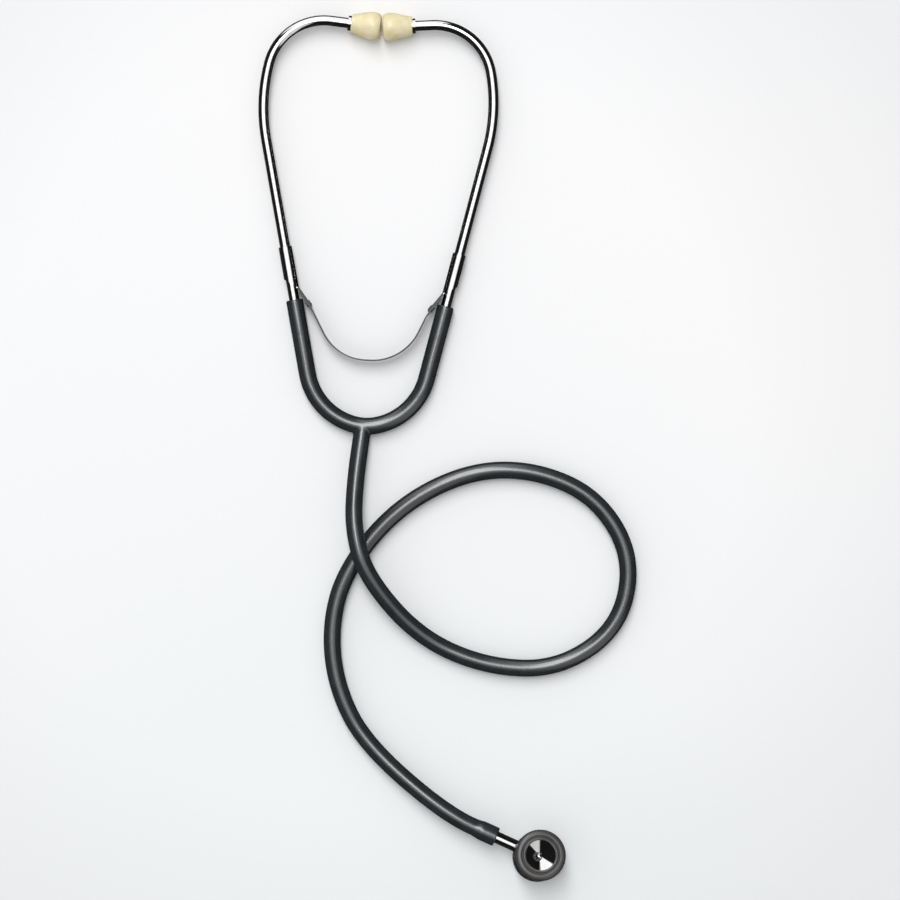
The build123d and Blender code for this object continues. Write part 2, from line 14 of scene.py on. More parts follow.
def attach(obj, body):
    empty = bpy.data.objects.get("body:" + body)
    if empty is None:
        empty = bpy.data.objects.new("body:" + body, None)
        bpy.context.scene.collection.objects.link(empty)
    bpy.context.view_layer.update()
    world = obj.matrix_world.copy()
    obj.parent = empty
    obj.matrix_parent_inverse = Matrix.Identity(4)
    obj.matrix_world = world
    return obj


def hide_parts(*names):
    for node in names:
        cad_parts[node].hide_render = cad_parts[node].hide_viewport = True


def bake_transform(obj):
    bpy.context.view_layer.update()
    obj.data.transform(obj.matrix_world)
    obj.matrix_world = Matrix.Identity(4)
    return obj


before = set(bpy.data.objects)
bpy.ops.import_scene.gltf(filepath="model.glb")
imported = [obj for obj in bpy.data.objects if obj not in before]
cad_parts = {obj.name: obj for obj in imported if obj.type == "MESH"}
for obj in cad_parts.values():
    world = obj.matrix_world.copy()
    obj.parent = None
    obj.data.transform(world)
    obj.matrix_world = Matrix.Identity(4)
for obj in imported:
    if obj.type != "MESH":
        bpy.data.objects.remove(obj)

log = logging.getLogger("stethoscope")

MILLIMETRE = 0.001
TUBE_OD = 9.0  # rubber tubing, as in the frame
HEADSET_TILT = 0.0138043  # radians that the headset rises towards the ear tips
HEADSET_BASE_Z = 4.5

Point = tuple[float, float, float]
Flat = tuple[float, float]


class Side(Enum):
    """The two halves of the headset, each with its sign along X."""

    LEFT = -1
    RIGHT = 1

    @property
    def word(self) -> str:
        """Name used in the frame's bodies and nodes."""
        return self.name.lower()


def hex_colour(code: str) -> tuple[float, float, float, float]:
    """Turns an sRGB hex colour into linear values.

    Args:
        code: six hex digits after a hash sign.

    Returns:
        Red, green, blue and alpha, linear.
    """
    values = [int(code[place:place + 2], 16) / 255 for place in (1, 3, 5)]
    linear = [value / 12.92 if value <= 0.04045 else ((value + 0.055) / 1.055) ** 2.4 for value in values]
    return (linear[0], linear[1], linear[2], 1.0)


def metres(values: Iterable[float]) -> Vector:
    """Turns a point in millimetres into a vector in metres."""
    return Vector([value * MILLIMETRE for value in values])


def per_size(millimetres: float) -> float:
    """Scale of a noise whose features are about this large."""
    return 1.0 / (millimetres * MILLIMETRE)


def add_node(
    tree: bpy.types.NodeTree,
    kind: str,
    inputs: Optional[dict[Any, Any]] = None,
    stops: Optional[Sequence[tuple[float, Any]]] = None,
    **settings: Any,
) -> bpy.types.Node:
    """Adds one node with its settings, values and links.

    Args:
        tree: node tree to add to.
        kind: type name of the node.
        inputs: values or sockets by input name or number.
        stops: colour ramp stops, as places and colours.
        **settings: attributes of the node.

    Returns:
        The new node.
    """
    node = tree.nodes.new(kind)
    for name, value in settings.items():
        setattr(node, name, value)
    for name, value in (inputs or {}).items():
        if isinstance(value, bpy.types.NodeSocket):
            tree.links.new(value, node.inputs[name])
        else:
            node.inputs[name].default_value = value
    if stops:
        elements = node.color_ramp.elements
        while len(elements) < len(stops):
            elements.new(0.5)
        for element, (place, colour) in zip(elements, stops):
            element.position = place
            element.color = colour if len(colour) == 4 else (*colour, 1.0)
    return node


def grey(value: float) -> tuple[float, float, float, float]:
    """Opaque grey for a ramp stop."""
    return (value, value, value, 1.0)


@dataclass(frozen=True)
class Finish:
    """A surface finish that makes its own procedural material."""

    name: str

    def start(self) -> tuple[bpy.types.Material, bpy.types.NodeTree, bpy.types.Node, bpy.types.NodeSocket]:
        """Makes an empty material.

        Returns:
            The material, its tree, its shader and the object coordinates.
        """
        material = bpy.data.materials.new(self.name)
        material.use_nodes = True
        tree = material.node_tree
        tree.nodes.clear()
        shader = add_node(tree, "ShaderNodeBsdfPrincipled")
        add_node(tree, "ShaderNodeOutputMaterial", {"Surface": shader.outputs[0]})
        place = add_node(tree, "ShaderNodeTexCoord")
        return material, tree, shader, place.outputs["Object"]

    def material(self) -> bpy.types.Material:
        """Builds the material; each finish has its own."""
        raise NotImplementedError


@dataclass(frozen=True)
class MouldedRubber(Finish):
    """Dipped or moulded natural rubber, matt with a dull sheen, a dusty bloom and fine pits."""

    colour: str
    bloom: str
    roughness: float
    specular: float
    bloom_mm: float = 7.0
    pit_mm: float = 0.35

    def material(self) -> bpy.types.Material:
        """Returns dark rubber whose bloom and pits are sized in millimetres."""
        material, tree, shader, place = self.start()
        cloud = add_node(
            tree, "ShaderNodeTexNoise",
            {"Vector": place, "Scale": per_size(self.bloom_mm), "Detail": 5.0, "Roughness": 0.6},
        )
        tone = add_node(
            tree, "ShaderNodeValToRGB", {"Fac": cloud.outputs[0]},
            [(0.3, hex_colour(self.colour)), (0.75, hex_colour(self.bloom))],
        )
        tree.links.new(tone.outputs[0], shader.inputs["Base Color"])
        sheen = add_node(
            tree, "ShaderNodeMapRange",
            {"Value": cloud.outputs[0], "To Min": self.roughness - 0.05, "To Max": self.roughness + 0.07},
        )
        tree.links.new(sheen.outputs[0], shader.inputs["Roughness"])
        pits = add_node(
            tree, "ShaderNodeTexNoise",
            {"Vector": place, "Scale": per_size(self.pit_mm), "Detail": 2.0, "Roughness": 0.5},
        )
        bump = add_node(
            tree, "ShaderNodeBump",
            {"Height": pits.outputs[0], "Strength": 0.18, "Distance": 0.03 * MILLIMETRE},
        )
        tree.links.new(bump.outputs[0], shader.inputs["Normal"])
        shader.inputs["Specular IOR Level"].default_value = self.specular
        shader.inputs["IOR"].default_value = 1.5
        return material


@dataclass(frozen=True)
class PolishedMetal(Finish):
    """Chromium on brass or plain steel: polished, with faint wipe marks and a little dulling."""

    colour: str
    dull: str
    roughness: float
    smear_mm: float = 5.0
    scratch_mm: float = 0.25

    def toned(
        self, tree: bpy.types.NodeTree, place: bpy.types.NodeSocket, colour: bpy.types.NodeSocket,
    ) -> bpy.types.NodeSocket:
        """Returns the surface's colour; a finish that paints shade on part of itself changes it."""
        return colour

    def material(self) -> bpy.types.Material:
        """Returns a metal whose smears and hairline marks are sized in millimetres."""
        material, tree, shader, place = self.start()
        smear = add_node(
            tree, "ShaderNodeTexNoise",
            {"Vector": place, "Scale": per_size(self.smear_mm), "Detail": 4.0, "Roughness": 0.65},
        )
        tone = add_node(
            tree, "ShaderNodeValToRGB", {"Fac": smear.outputs[0]},
            [(0.35, hex_colour(self.colour)), (0.8, hex_colour(self.dull))],
        )
        tree.links.new(self.toned(tree, place, tone.outputs[0]), shader.inputs["Base Color"])
        gloss = add_node(
            tree, "ShaderNodeMapRange",
            {"Value": smear.outputs[0], "From Min": 0.35, "From Max": 0.8,
             "To Min": self.roughness, "To Max": self.roughness + 0.07},
        )
        tree.links.new(gloss.outputs[0], shader.inputs["Roughness"])
        marks = add_node(
            tree, "ShaderNodeTexNoise",
            {"Vector": place, "Scale": per_size(self.scratch_mm), "Detail": 3.0},
        )
        bump = add_node(
            tree, "ShaderNodeBump",
            {"Height": marks.outputs[0], "Strength": 0.04, "Distance": 0.01 * MILLIMETRE},
        )
        tree.links.new(bump.outputs[0], shader.inputs["Normal"])
        shader.inputs["Metallic"].default_value = 1.0
        return material


@dataclass(frozen=True)
class ClipMetal(PolishedMetal):
    """Spring clip: a sleeve as bright as the ear tube that it grips, and a tongue given a dark painted shade in
    place of the dark reflection it shows.
    """

    # painted shade: dark colour of the tongue, standing for its dark reflection
    tongue: str = "#1c1d1e"
    mouth: Flat = (40.0, 66.0)
    lean: float = 12.4
    tube_reach: float = 2.7  # just outside the ear tube, measured from its axis

    def toned(
        self, tree: bpy.types.NodeTree, place: bpy.types.NodeSocket, colour: bpy.types.NodeSocket,
    ) -> bpy.types.NodeSocket:
        """Paints shade on what lies further inwards from the ear tube's axis than the tube itself: the tongue is
        darkened to stand for its dark reflection.

        Args:
            tree: nodes of the material.
            place: object coordinates.
            colour: colour of the polished metal.

        Returns:
            Colour of the whole clip.
        """
        slope = radians(self.lean)
        limit = self.mouth[0] * cos(slope) - self.mouth[1] * sin(slope) - self.tube_reach
        split = add_node(tree, "ShaderNodeSeparateXYZ", {"Vector": place})
        side = add_node(tree, "ShaderNodeMath", {0: split.outputs["X"]}, operation="ABSOLUTE")
        rise = add_node(tree, "ShaderNodeMath", {0: split.outputs["Y"], 1: sin(slope)}, operation="MULTIPLY")
        across = add_node(
            tree, "ShaderNodeMath", {0: side.outputs[0], 1: cos(slope)}, operation="MULTIPLY"
        )
        aside = add_node(
            tree, "ShaderNodeMath", {0: across.outputs[0], 1: rise.outputs[0]}, operation="SUBTRACT"
        )
        # painted shade mask: what lies inward of the ear tube, the tongue, takes the dark colour
        inner = add_node(
            tree, "ShaderNodeMath", {0: aside.outputs[0], 1: limit * MILLIMETRE}, operation="LESS_THAN"
        )
        mixed = add_node(
            tree, "ShaderNodeMix", {0: inner.outputs[0], 6: colour, 7: hex_colour(self.tongue)},
            data_type="RGBA",
        )
        return mixed.outputs[2]


@dataclass(frozen=True)
class AgedPlastic(Finish):
    """Moulded hard plastic, ivory coloured and yellowed unevenly, glossy with soft wear."""

    colour: str
    yellow: str
    roughness: float
    blotch_mm: float = 5.0
    grain_mm: float = 0.5

    def material(self) -> bpy.types.Material:
        """Returns a faintly translucent plastic with blotches sized in millimetres."""
        material, tree, shader, place = self.start()
        blotch = add_node(
            tree, "ShaderNodeTexNoise",
            {"Vector": place, "Scale": per_size(self.blotch_mm), "Detail": 4.0, "Roughness": 0.55},
        )
        tone = add_node(
            tree, "ShaderNodeValToRGB", {"Fac": blotch.outputs[0]},
            [(0.35, hex_colour(self.colour)), (0.68, hex_colour(self.yellow))],
        )
        tree.links.new(tone.outputs[0], shader.inputs["Base Color"])
        wear = add_node(
            tree, "ShaderNodeMapRange",
            {"Value": blotch.outputs[0], "To Min": self.roughness - 0.06, "To Max": self.roughness + 0.12},
        )
        tree.links.new(wear.outputs[0], shader.inputs["Roughness"])
        grain = add_node(
            tree, "ShaderNodeTexNoise",
            {"Vector": place, "Scale": per_size(self.grain_mm), "Detail": 2.0},
        )
        bump = add_node(
            tree, "ShaderNodeBump",
            {"Height": grain.outputs[0], "Strength": 0.12, "Distance": 0.02 * MILLIMETRE},
        )
        tree.links.new(bump.outputs[0], shader.inputs["Normal"])
        shader.inputs["Subsurface Weight"].default_value = 0.12
        shader.inputs["Subsurface Radius"].default_value = (1.0, 0.7, 0.4)
        shader.inputs["Subsurface Scale"].default_value = 0.8 * MILLIMETRE
        shader.inputs["IOR"].default_value = 1.52
        return material


@dataclass(frozen=True)
class PaintedTable(Finish):
    """Plain pale matt surface that the stethoscope lies on; its tone drifts a little across it, painted shade
    darkens it away from the object, and a painted dark reflection stands for it in polished metal.
    """

    colour: str
    cool: str
    # painted reflection: the dark colour that polished metal shows of the table instead of its own pale one
    painted_reflection: str  # how dark it looks in polished metal
    # painted shade: the table's colour falls to this brightness far from the object, where the light falls off
    edge: float = 0.91  # brightness far from the object
    painted_falloff_mm: Flat = (200.0, 340.0)  # distances over which the brightness falls
    drift_mm: float = 420.0

    def material(self) -> bpy.types.Material:
        """Returns the matt floor material, darkened by painted shade away from the object."""
        material, tree, shader, place = self.start()
        drift = add_node(
            tree, "ShaderNodeTexNoise",
            {"Vector": place, "Scale": per_size(self.drift_mm), "Detail": 0.0},
        )
        tone = add_node(
            tree, "ShaderNodeValToRGB", {"Fac": drift.outputs[0]},
            [(0.35, hex_colour(self.colour)), (0.7, hex_colour(self.cool))],
        )
        # painted shade: the table's colour is darkened with distance from the object, as the light falls off
        # towards the edges
        far = add_node(tree, "ShaderNodeVectorMath", {0: place}, operation="LENGTH")
        painted_falloff = add_node(
            tree, "ShaderNodeMapRange",
            {"Value": far.outputs["Value"], "From Min": self.painted_falloff_mm[0] * MILLIMETRE,
             "From Max": self.painted_falloff_mm[1] * MILLIMETRE, "To Min": 1.0, "To Max": self.edge},
        )
        falloff_shaded_tone = add_node(
            tree, "ShaderNodeVectorMath", {0: tone.outputs[0], "Scale": painted_falloff.outputs[0]}, operation="SCALE"
        )
        # painted reflection: glossy rays see the table in its dark reflection colour
        path = add_node(tree, "ShaderNodeLightPath")
        seen = add_node(
            tree, "ShaderNodeMix",
            {0: path.outputs["Is Glossy Ray"], 6: falloff_shaded_tone.outputs[0], 7: hex_colour(self.painted_reflection)},
            data_type="RGBA",
        )
        tree.links.new(seen.outputs[2], shader.inputs["Base Color"])
        shader.inputs["Roughness"].default_value = 0.9
        shader.inputs["Specular IOR Level"].default_value = 0.1
        return material


def deselect() -> None:
    """Clears the selection, so that an operator acts on nothing by accident."""
    bpy.ops.object.select_all(action="DESELECT")


def activate(piece: bpy.types.Object) -> None:
    """Makes one piece the only selected and the active one."""
    deselect()
    piece.select_set(True)
    bpy.context.view_layer.objects.active = piece


def apply_modifier(piece: bpy.types.Object, kind: str, **settings: Any) -> None:
    """Adds a modifier and applies it.

    Args:
        piece: object to change.
        kind: modifier type.
        **settings: attributes of the modifier.
    """
    activate(piece)
    modifier = piece.modifiers.new(kind.title(), kind)
    for name, value in settings.items():
        setattr(modifier, name, value)
    bpy.ops.object.modifier_apply(modifier=modifier.name)


def settle(piece: bpy.types.Object, place: Matrix, smooth_angle: float = 35.0) -> None:
    """Puts a piece in its place and writes the place into its mesh.

    Args:
        piece: finished mesh.
        place: matrix in metres.
        smooth_angle: faces that meet at less than this are smooth, in degrees.
    """
    activate(piece)
    bpy.ops.object.mode_set(mode="EDIT")
    bpy.ops.mesh.select_all(action="SELECT")
    bpy.ops.mesh.remove_doubles(threshold=1e-6)
    bpy.ops.mesh.normals_make_consistent(inside=False)
    bpy.ops.object.mode_set(mode="OBJECT")
    bpy.ops.object.transform_apply(location=True, rotation=True, scale=True)
    piece.matrix_world = place
    bpy.context.view_layer.update()
    bpy.ops.object.transform_apply(location=True, rotation=True, scale=True)
    bpy.ops.object.shade_smooth_by_angle(angle=radians(smooth_angle))


def turned(name: str, profile: Sequence[Flat], place: Matrix, sides: int = 96) -> bpy.types.Object:
    """Turns a closed profile on a lathe: a ring is extruded and scaled from point to point.

    Args:
        name: name of the piece.
        profile: distance along the axis and radius of each point, in millimetres.
        place: matrix whose z axis is the turning axis, in metres.
        sides: faces round the piece.

    Returns:
        The finished object.
    """
    deselect()
    along, radius = profile[0]
    bpy.ops.mesh.primitive_circle_add(
        vertices=sides, radius=radius * MILLIMETRE, location=(0, 0, along * MILLIMETRE)
    )
    piece = bpy.context.object
    piece.name = piece.data.name = name
    bpy.ops.object.mode_set(mode="EDIT")
    bpy.ops.mesh.select_all(action="SELECT")
    for after_along, after_radius in [*profile[1:], profile[0]]:
        step = (0, 0, (after_along - along) * MILLIMETRE)
        bpy.ops.mesh.extrude_region_move(TRANSFORM_OT_translate={"value": step})
        share = after_radius / radius
        bpy.ops.transform.resize(
            value=(share, share, 1), center_override=(0, 0, after_along * MILLIMETRE)
        )
        along, radius = after_along, after_radius
    bpy.ops.object.mode_set(mode="OBJECT")
    settle(piece, place)
    return piece


def curve_between(points: Sequence[Flat], count: int) -> list[Flat]:
    """Samples a cubic Bezier curve, ends included.

    Args:
        points: its four control points.
        count: number of steps.

    Returns:
        Points along the curve.
    """
    found = []
    for step in range(count + 1):
        share = step / count
        weights = ((1 - share) ** 3, 3 * share * (1 - share) ** 2, 3 * share ** 2 * (1 - share), share ** 3)
        found.append(tuple(sum(w * p[axis] for w, p in zip(weights, points)) for axis in (0, 1)))
    return found


def rounded_path(corners: Sequence[Flat], radii: Sequence[float], step: float) -> list[tuple[Flat, float]]:
    """Follows straight runs joined by arcs.

    Args:
        corners: corner points in millimetres.
        radii: radius at each inner corner.
        step: longest distance between two points.

    Returns:
        Points with their headings in radians.
    """
    places = [Vector(corner) for corner in corners]
    path: list[tuple[Flat, float]] = []
    here = places[0]
    for before, corner, after, radius in zip(places, places[1:], places[2:], radii):
        way_in, way_out = (corner - before).normalized(), (after - corner).normalized()
        heading = atan2(way_in.y, way_in.x)
        turn = atan2(way_in.x * way_out.y - way_in.y * way_out.x, way_in.dot(way_out))
        start = corner - way_in * radius * tan(abs(turn) / 2)
        run = (start - here).length
        count = max(1, round(run / step))
        path += [(tuple(here.lerp(start, i / count)), heading) for i in range(count)]
        hand = 1 if turn > 0 else -1
        middle = start + Vector((-way_in.y, way_in.x)) * radius * hand
        count = max(2, round(radius * abs(turn) / step))
        for i in range(count):
            angle = heading + turn * i / count
            path.append(((middle.x + radius * hand * sin(angle), middle.y - radius * hand * cos(angle)), angle))
        angle = heading + turn
        here = Vector((middle.x + radius * hand * sin(angle), middle.y - radius * hand * cos(angle)))
    run = (places[-1] - here).length
    heading = atan2(*(places[-1] - here).yx)
    count = max(1, round(run / step))
    path += [(tuple(here.lerp(places[-1], i / count)), heading) for i in range(count + 1)]
    return path


def extrude_along(piece: bpy.types.Object, path: Sequence[tuple[Flat, float]]) -> None:
    """Extrudes the selected end face of a piece along a flat path, turning it as the path turns.

    Args:
        piece: object in edit mode, with its end face selected.
        path: points and headings in millimetres and radians.
    """
    for (before, heading), (after, new_heading) in zip(path, path[1:]):
        step = metres((after[0] - before[0], after[1] - before[1], 0))
        bpy.ops.mesh.extrude_region_move(TRANSFORM_OT_translate={"value": step})
        turn = (new_heading - heading + pi) % (2 * pi) - pi
        if abs(turn) > 1e-9:
            # without a window a turn runs the other way, so its sign is changed
            bpy.ops.transform.rotate(value=-turn, orient_axis="Z", center_override=metres((*after, 0)))


def headset_matrix() -> Matrix:
    """Plane of the headset: it tilts up a little towards the ear tips."""
    return Matrix.Translation((0, 0, HEADSET_BASE_Z * MILLIMETRE)) @ Matrix.Rotation(HEADSET_TILT, 4, "X")


def give(piece: bpy.types.Object, material: bpy.types.Material) -> None:
    """Gives a new piece its material.

    Args:
        piece: object to dress.
        material: its material.
    """
    piece.data.materials.clear()
    piece.data.materials.append(material)


@dataclass
class ListeningTube:
    """The long rubber tube, a free hose from the fork to the cuff, looped once over itself."""

    diameter: float = TUBE_OD
    length: float = 616.8
    route: list[Point] = field(default_factory=lambda: [
        (-2.332, -12.914, 6.206), (-3.854, -28.722, 8.156), (-3.6, -53.6, 14.0), (4.4, -78.4, 14.0),
        (33.5, -109.5, 4.5), (70.0, -123.5, 4.5), (108.0, -123.0, 4.5), (139.0, -99.5, 4.5),
        (144.5, -62.0, 4.5), (124.0, -31.0, 4.5), (90.0, -18.0, 4.5), (55.0, -20.5, 4.5),
        (19.0, -41.0, 4.5), (-7.0, -75.0, 4.5), (-14.0, -106.0, 4.5), (-9.0, -138.0, 4.5),
        (7.5, -167.0, 4.5), (51.132, -201.371, 9.488), (65.967, -207.365, 9.488),
    ])

    def build(self, rubber: bpy.types.Material) -> bpy.types.Object:
        """Args:
            rubber: material of the tubing.

        Returns:
            The curve object.
        """
        curve = bpy.data.curves.new("listening_tube", "CURVE")
        curve.dimensions = "3D"
        curve.bevel_depth = self.diameter / 2 * MILLIMETRE
        curve.bevel_resolution = 12
        curve.resolution_u = 24
        curve.use_fill_caps = True
        spline = curve.splines.new("NURBS")
        spline.points.add(len(self.route) - 1)
        for point, place in zip(spline.points, self.route):
            point.co = (*metres(place), 1.0)
        spline.order_u = 3
        spline.use_endpoint_u = True
        piece = bpy.data.objects.new("listening_tube", curve)
        bpy.context.scene.collection.objects.link(piece)
        give(piece, rubber)
        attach(piece, "tubing")
        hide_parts("main_tube")
        return piece


@dataclass
class TubingFork:
    """Moulded rubber fork: a middle that stays with the tube, and two arms."""

    diameter: float = TUBE_OD
    mouth: Flat = (40.0, 66.0)
    corner: Flat = (27.0846, 7.2573)
    bend: float = 34.0
    floor_bend: float = 26.0
    trunk_root: Flat = (-1.0, 0.9172)
    trunk_lean: float = 5.5
    trunk_climb: float = 7.0
    trunk_length: float = 14.0
    trunk_spare: float = 3.0  # cut off again, so that the end is flat
    parting: float = 13.0  # where an arm parts from the middle
    grip_foot: Flat = (36.2, 48.7)  # lowest place where the ear tube keeps the arm straight
    voxel: float = 0.42
    sides: int = 48

    def centreline(self) -> list[tuple[Flat, float]]:
        """Follows both arms from the left mouth to the right one."""
        corners = [
            (-self.mouth[0], self.mouth[1]), (-self.corner[0], self.corner[1]), (0.0, 0.0),
            self.corner, self.mouth,
        ]
        return rounded_path(corners, [self.bend, self.floor_bend, self.bend], 2.0)

    def trunk_way(self) -> Vector:
        """Direction of the trunk, away from the arms."""
        aside, climb = radians(self.trunk_lean), radians(self.trunk_climb)
        return Vector((-sin(aside) * cos(climb), -cos(aside) * cos(climb), sin(climb)))

    def arms(self) -> bpy.types.Object:
        """Sweeps both arms as one bent rod."""
        path = self.centreline()
        (x, y), heading = path[0]
        deselect()
        bpy.ops.mesh.primitive_circle_add(
            vertices=self.sides, radius=self.diameter / 2 * MILLIMETRE, fill_type="NGON",
            location=metres((x, y, 0)), rotation=(pi / 2, 0, heading + pi / 2),
        )
        piece = bpy.context.object
        bpy.ops.object.mode_set(mode="EDIT")
        bpy.ops.mesh.select_all(action="SELECT")
        extrude_along(piece, path)
        bpy.ops.object.mode_set(mode="OBJECT")
        settle(piece, headset_matrix())
        return piece

    def trunk(self) -> bpy.types.Object:
        """Adds the start of the trunk, which leans to the left and climbs."""
        deselect()
        bpy.ops.mesh.primitive_circle_add(
            vertices=self.sides, radius=self.diameter / 2 * MILLIMETRE, fill_type="NGON"
        )
        piece = bpy.context.object
        bpy.ops.object.mode_set(mode="EDIT")
        bpy.ops.mesh.select_all(action="SELECT")
        reach = (0, 0, (self.trunk_length + self.trunk_spare) * MILLIMETRE)
        bpy.ops.mesh.extrude_region_move(TRANSFORM_OT_translate={"value": reach})
        bpy.ops.object.mode_set(mode="OBJECT")
        turn = self.trunk_way().to_track_quat("Z", "Y").to_matrix().to_4x4()
        settle(piece, Matrix.Translation(metres((*self.trunk_root, HEADSET_BASE_Z))) @ turn)
        return piece

    def melt(self, pieces: Sequence[bpy.types.Object]) -> bpy.types.Object:
        """Runs the arms and trunk into one another with the soft corners of a moulding.

        Args:
            pieces: closed meshes that overlap.

        Returns:
            One closed mesh.
        """
        deselect()
        for piece in pieces:
            piece.select_set(True)
        bpy.context.view_layer.objects.active = pieces[0]
        bpy.ops.object.join()
        whole = bpy.context.object
        apply_modifier(whole, "REMESH", mode="VOXEL", voxel_size=self.voxel * MILLIMETRE)
        apply_modifier(whole, "SMOOTH", factor=0.5, iterations=10)
        return whole

    def trim(self, piece: bpy.types.Object, place: Vector, facing: Vector) -> None:
        """Cuts a piece flat, drops what lies beyond the cut and closes it.

        Args:
            piece: closed mesh.
            place: point of the cut, in metres.
            facing: direction of what is dropped.
        """
        activate(piece)
        bpy.ops.object.mode_set(mode="EDIT")
        bpy.ops.mesh.select_all(action="SELECT")
        bpy.ops.mesh.bisect(plane_co=place, plane_no=facing, use_fill=True, clear_outer=True)
        bpy.ops.object.mode_set(mode="OBJECT")

    def stretch(self, whole: bpy.types.Object, name: str, cuts: dict[float, int]) -> bpy.types.Object:
        """Copies the moulding and keeps a stretch of it.

        Args:
            whole: the full moulding.
            name: name of the new piece.
            cuts: x of each upright cut in millimetres, and the sign of the side that is dropped.

        Returns:
            The new piece.
        """
        piece = whole.copy()
        piece.data = whole.data.copy()
        piece.name = piece.data.name = name
        bpy.context.scene.collection.objects.link(piece)
        for x, dropped in cuts.items():
            self.trim(piece, metres((x, 0, 0)), Vector((dropped, 0, 0)))
        bpy.ops.object.shade_smooth_by_angle(angle=radians(50))
        return piece

    def build(self, rubber: bpy.types.Material) -> list[bpy.types.Object]:
        """Makes the middle and both arms.

        Args:
            rubber: material of the tubing.

        Returns:
            The three pieces.
        """
        whole = self.melt([self.arms(), self.trunk()])
        root = metres((*self.trunk_root, HEADSET_BASE_Z))
        way = self.trunk_way()
        self.trim(whole, root + way * self.trunk_length * MILLIMETRE, way)
        middle = self.stretch(whole, "fork_middle", {-self.parting: -1, self.parting: 1})
        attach(middle, "tubing")
        pieces = [middle]
        (x, y), _ = min(self.centreline(), key=lambda place: abs(place[0][0] - self.parting))
        for side in Side:
            sign = side.value
            arm = self.stretch(whole, f"{side.word}_rubber_arm", {sign * self.parting: -sign})
            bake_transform(arm)
            pieces.append(arm)
        bpy.data.objects.remove(whole)
        for piece in pieces:
            give(piece, rubber)
            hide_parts("yoke_tubing")
        return pieces


@dataclass
class StemCuff:
    """End of the tubing, stretched over the barbed stem."""

    foot: Point = (101.2, -221.6, 9.488)
    angle: float = 158.0
    start: float = 24.5
    stop: float = 38.0

    def build(self, rubber: bpy.types.Material) -> bpy.types.Object:
        """Turns the cuff about the stem's axis.

        Args:
            rubber: material of the tubing.

        Returns:
            The cuff.
        """
        bore, lip, wide, slim = 3.16, 4.45, 5.08, 4.5
        profile = [(self.start + 0.1, bore), (self.start, bore + 0.25), (self.start, lip - 0.25)]
        profile += curve_between([(self.start, lip - 0.2), (self.start, wide), (self.start + 0.2, wide), (self.start + 1.1, wide)], 8)
        profile += curve_between([(self.start + 7.5, wide), (self.start + 9.5, wide), (self.start + 10.5, slim), (self.stop, slim)], 12)
        profile += [(self.stop, bore)]
        along = Vector((cos(radians(self.angle)), sin(radians(self.angle)), 0))
        place = Matrix.Translation(metres(self.foot)) @ along.to_track_quat("Z", "Y").to_matrix().to_4x4()
        piece = turned("stem_cuff_rubber", profile, place, 64)
        give(piece, rubber)
        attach(piece, "tubing")
        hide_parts("stem_cuff")
        return piece


@dataclass
class LeafSpring:
    """Flat steel spring between the two ear tubes, in two halves."""

    thick: float = 0.7
    width: float = 7.0
    mouth: Flat = (40.0, 66.0)
    lean: float = 12.4
    tongue_angle: float = 25.0
    offset: float = 0.45
    root: float = 3.6
    lead: float = 8.2
    low_y: float = 35.8
    lows: Flat = (-16.5, 19.0)
    radii: tuple[float, float, float, float] = (10.0, 26.0, 27.0, 10.0)
    middle_x: float = 1.3

    def end(self, side: Side) -> list[Flat]:
        """Outer and inner point of the straight length on one tongue.

        Args:
            side: which half.

        Returns:
            Two points of the headset's plane.
        """
        lean, turn = radians(self.lean), radians(self.tongue_angle)
        across, up = Vector((-cos(lean), sin(lean))), Vector((sin(lean), cos(lean)))
        away = across * cos(turn) + up * sin(turn)
        down = across * sin(turn) - up * cos(turn)
        edge = Vector(self.mouth) + across * TUBE_OD / 2 + away * self.offset
        points = [edge - down * self.root, edge + down * self.lead]
        return [(side.value * point.x, point.y) for point in points]

    def half(self, side: Side, path: Sequence[tuple[Flat, float]]) -> bpy.types.Object:
        """Extrudes one half of the strip.

        Args:
            side: which half.
            path: points and headings of that half.

        Returns:
            The strip, in its place.
        """
        (x, y), heading = path[0]
        deselect()
        bpy.ops.mesh.primitive_plane_add(size=1, location=metres((x, y, 0)), rotation=(pi / 2, 0, heading + pi / 2))
        piece = bpy.context.object
        piece.name = piece.data.name = f"{side.word}_leaf"
        piece.scale = (self.thick * MILLIMETRE, self.width * MILLIMETRE, 1)
        bpy.ops.object.transform_apply(location=False, rotation=False, scale=True)
        bpy.ops.object.mode_set(mode="EDIT")
        bpy.ops.mesh.select_all(action="SELECT")
        extrude_along(piece, path)
        bpy.ops.object.mode_set(mode="OBJECT")
        settle(piece, headset_matrix())
        apply_modifier(piece, "BEVEL", width=0.12 * MILLIMETRE, segments=2, limit_method="ANGLE", angle_limit=radians(50))
        bpy.ops.object.shade_smooth_by_angle(angle=radians(30))
        return piece

    def build(self, steel: bpy.types.Material) -> list[bpy.types.Object]:
        """Makes both halves.

        Args:
            steel: material of the strip.

        Returns:
            The two halves.
        """
        lows = [(x, self.low_y) for x in self.lows]
        corners = [*self.end(Side.LEFT), *lows, *reversed(self.end(Side.RIGHT))]
        path = rounded_path(corners, self.radii, 0.9)
        share = min(range(len(path)), key=lambda place: abs(path[place][0][0] - self.middle_x))
        halves = {Side.LEFT: path[:share + 1], Side.RIGHT: path[share:]}
        pieces = []
        for side, part in halves.items():
            piece = self.half(side, part)
            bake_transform(piece)
            give(piece, steel)
            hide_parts("leaf_spring")
            pieces.append(piece)
        return pieces


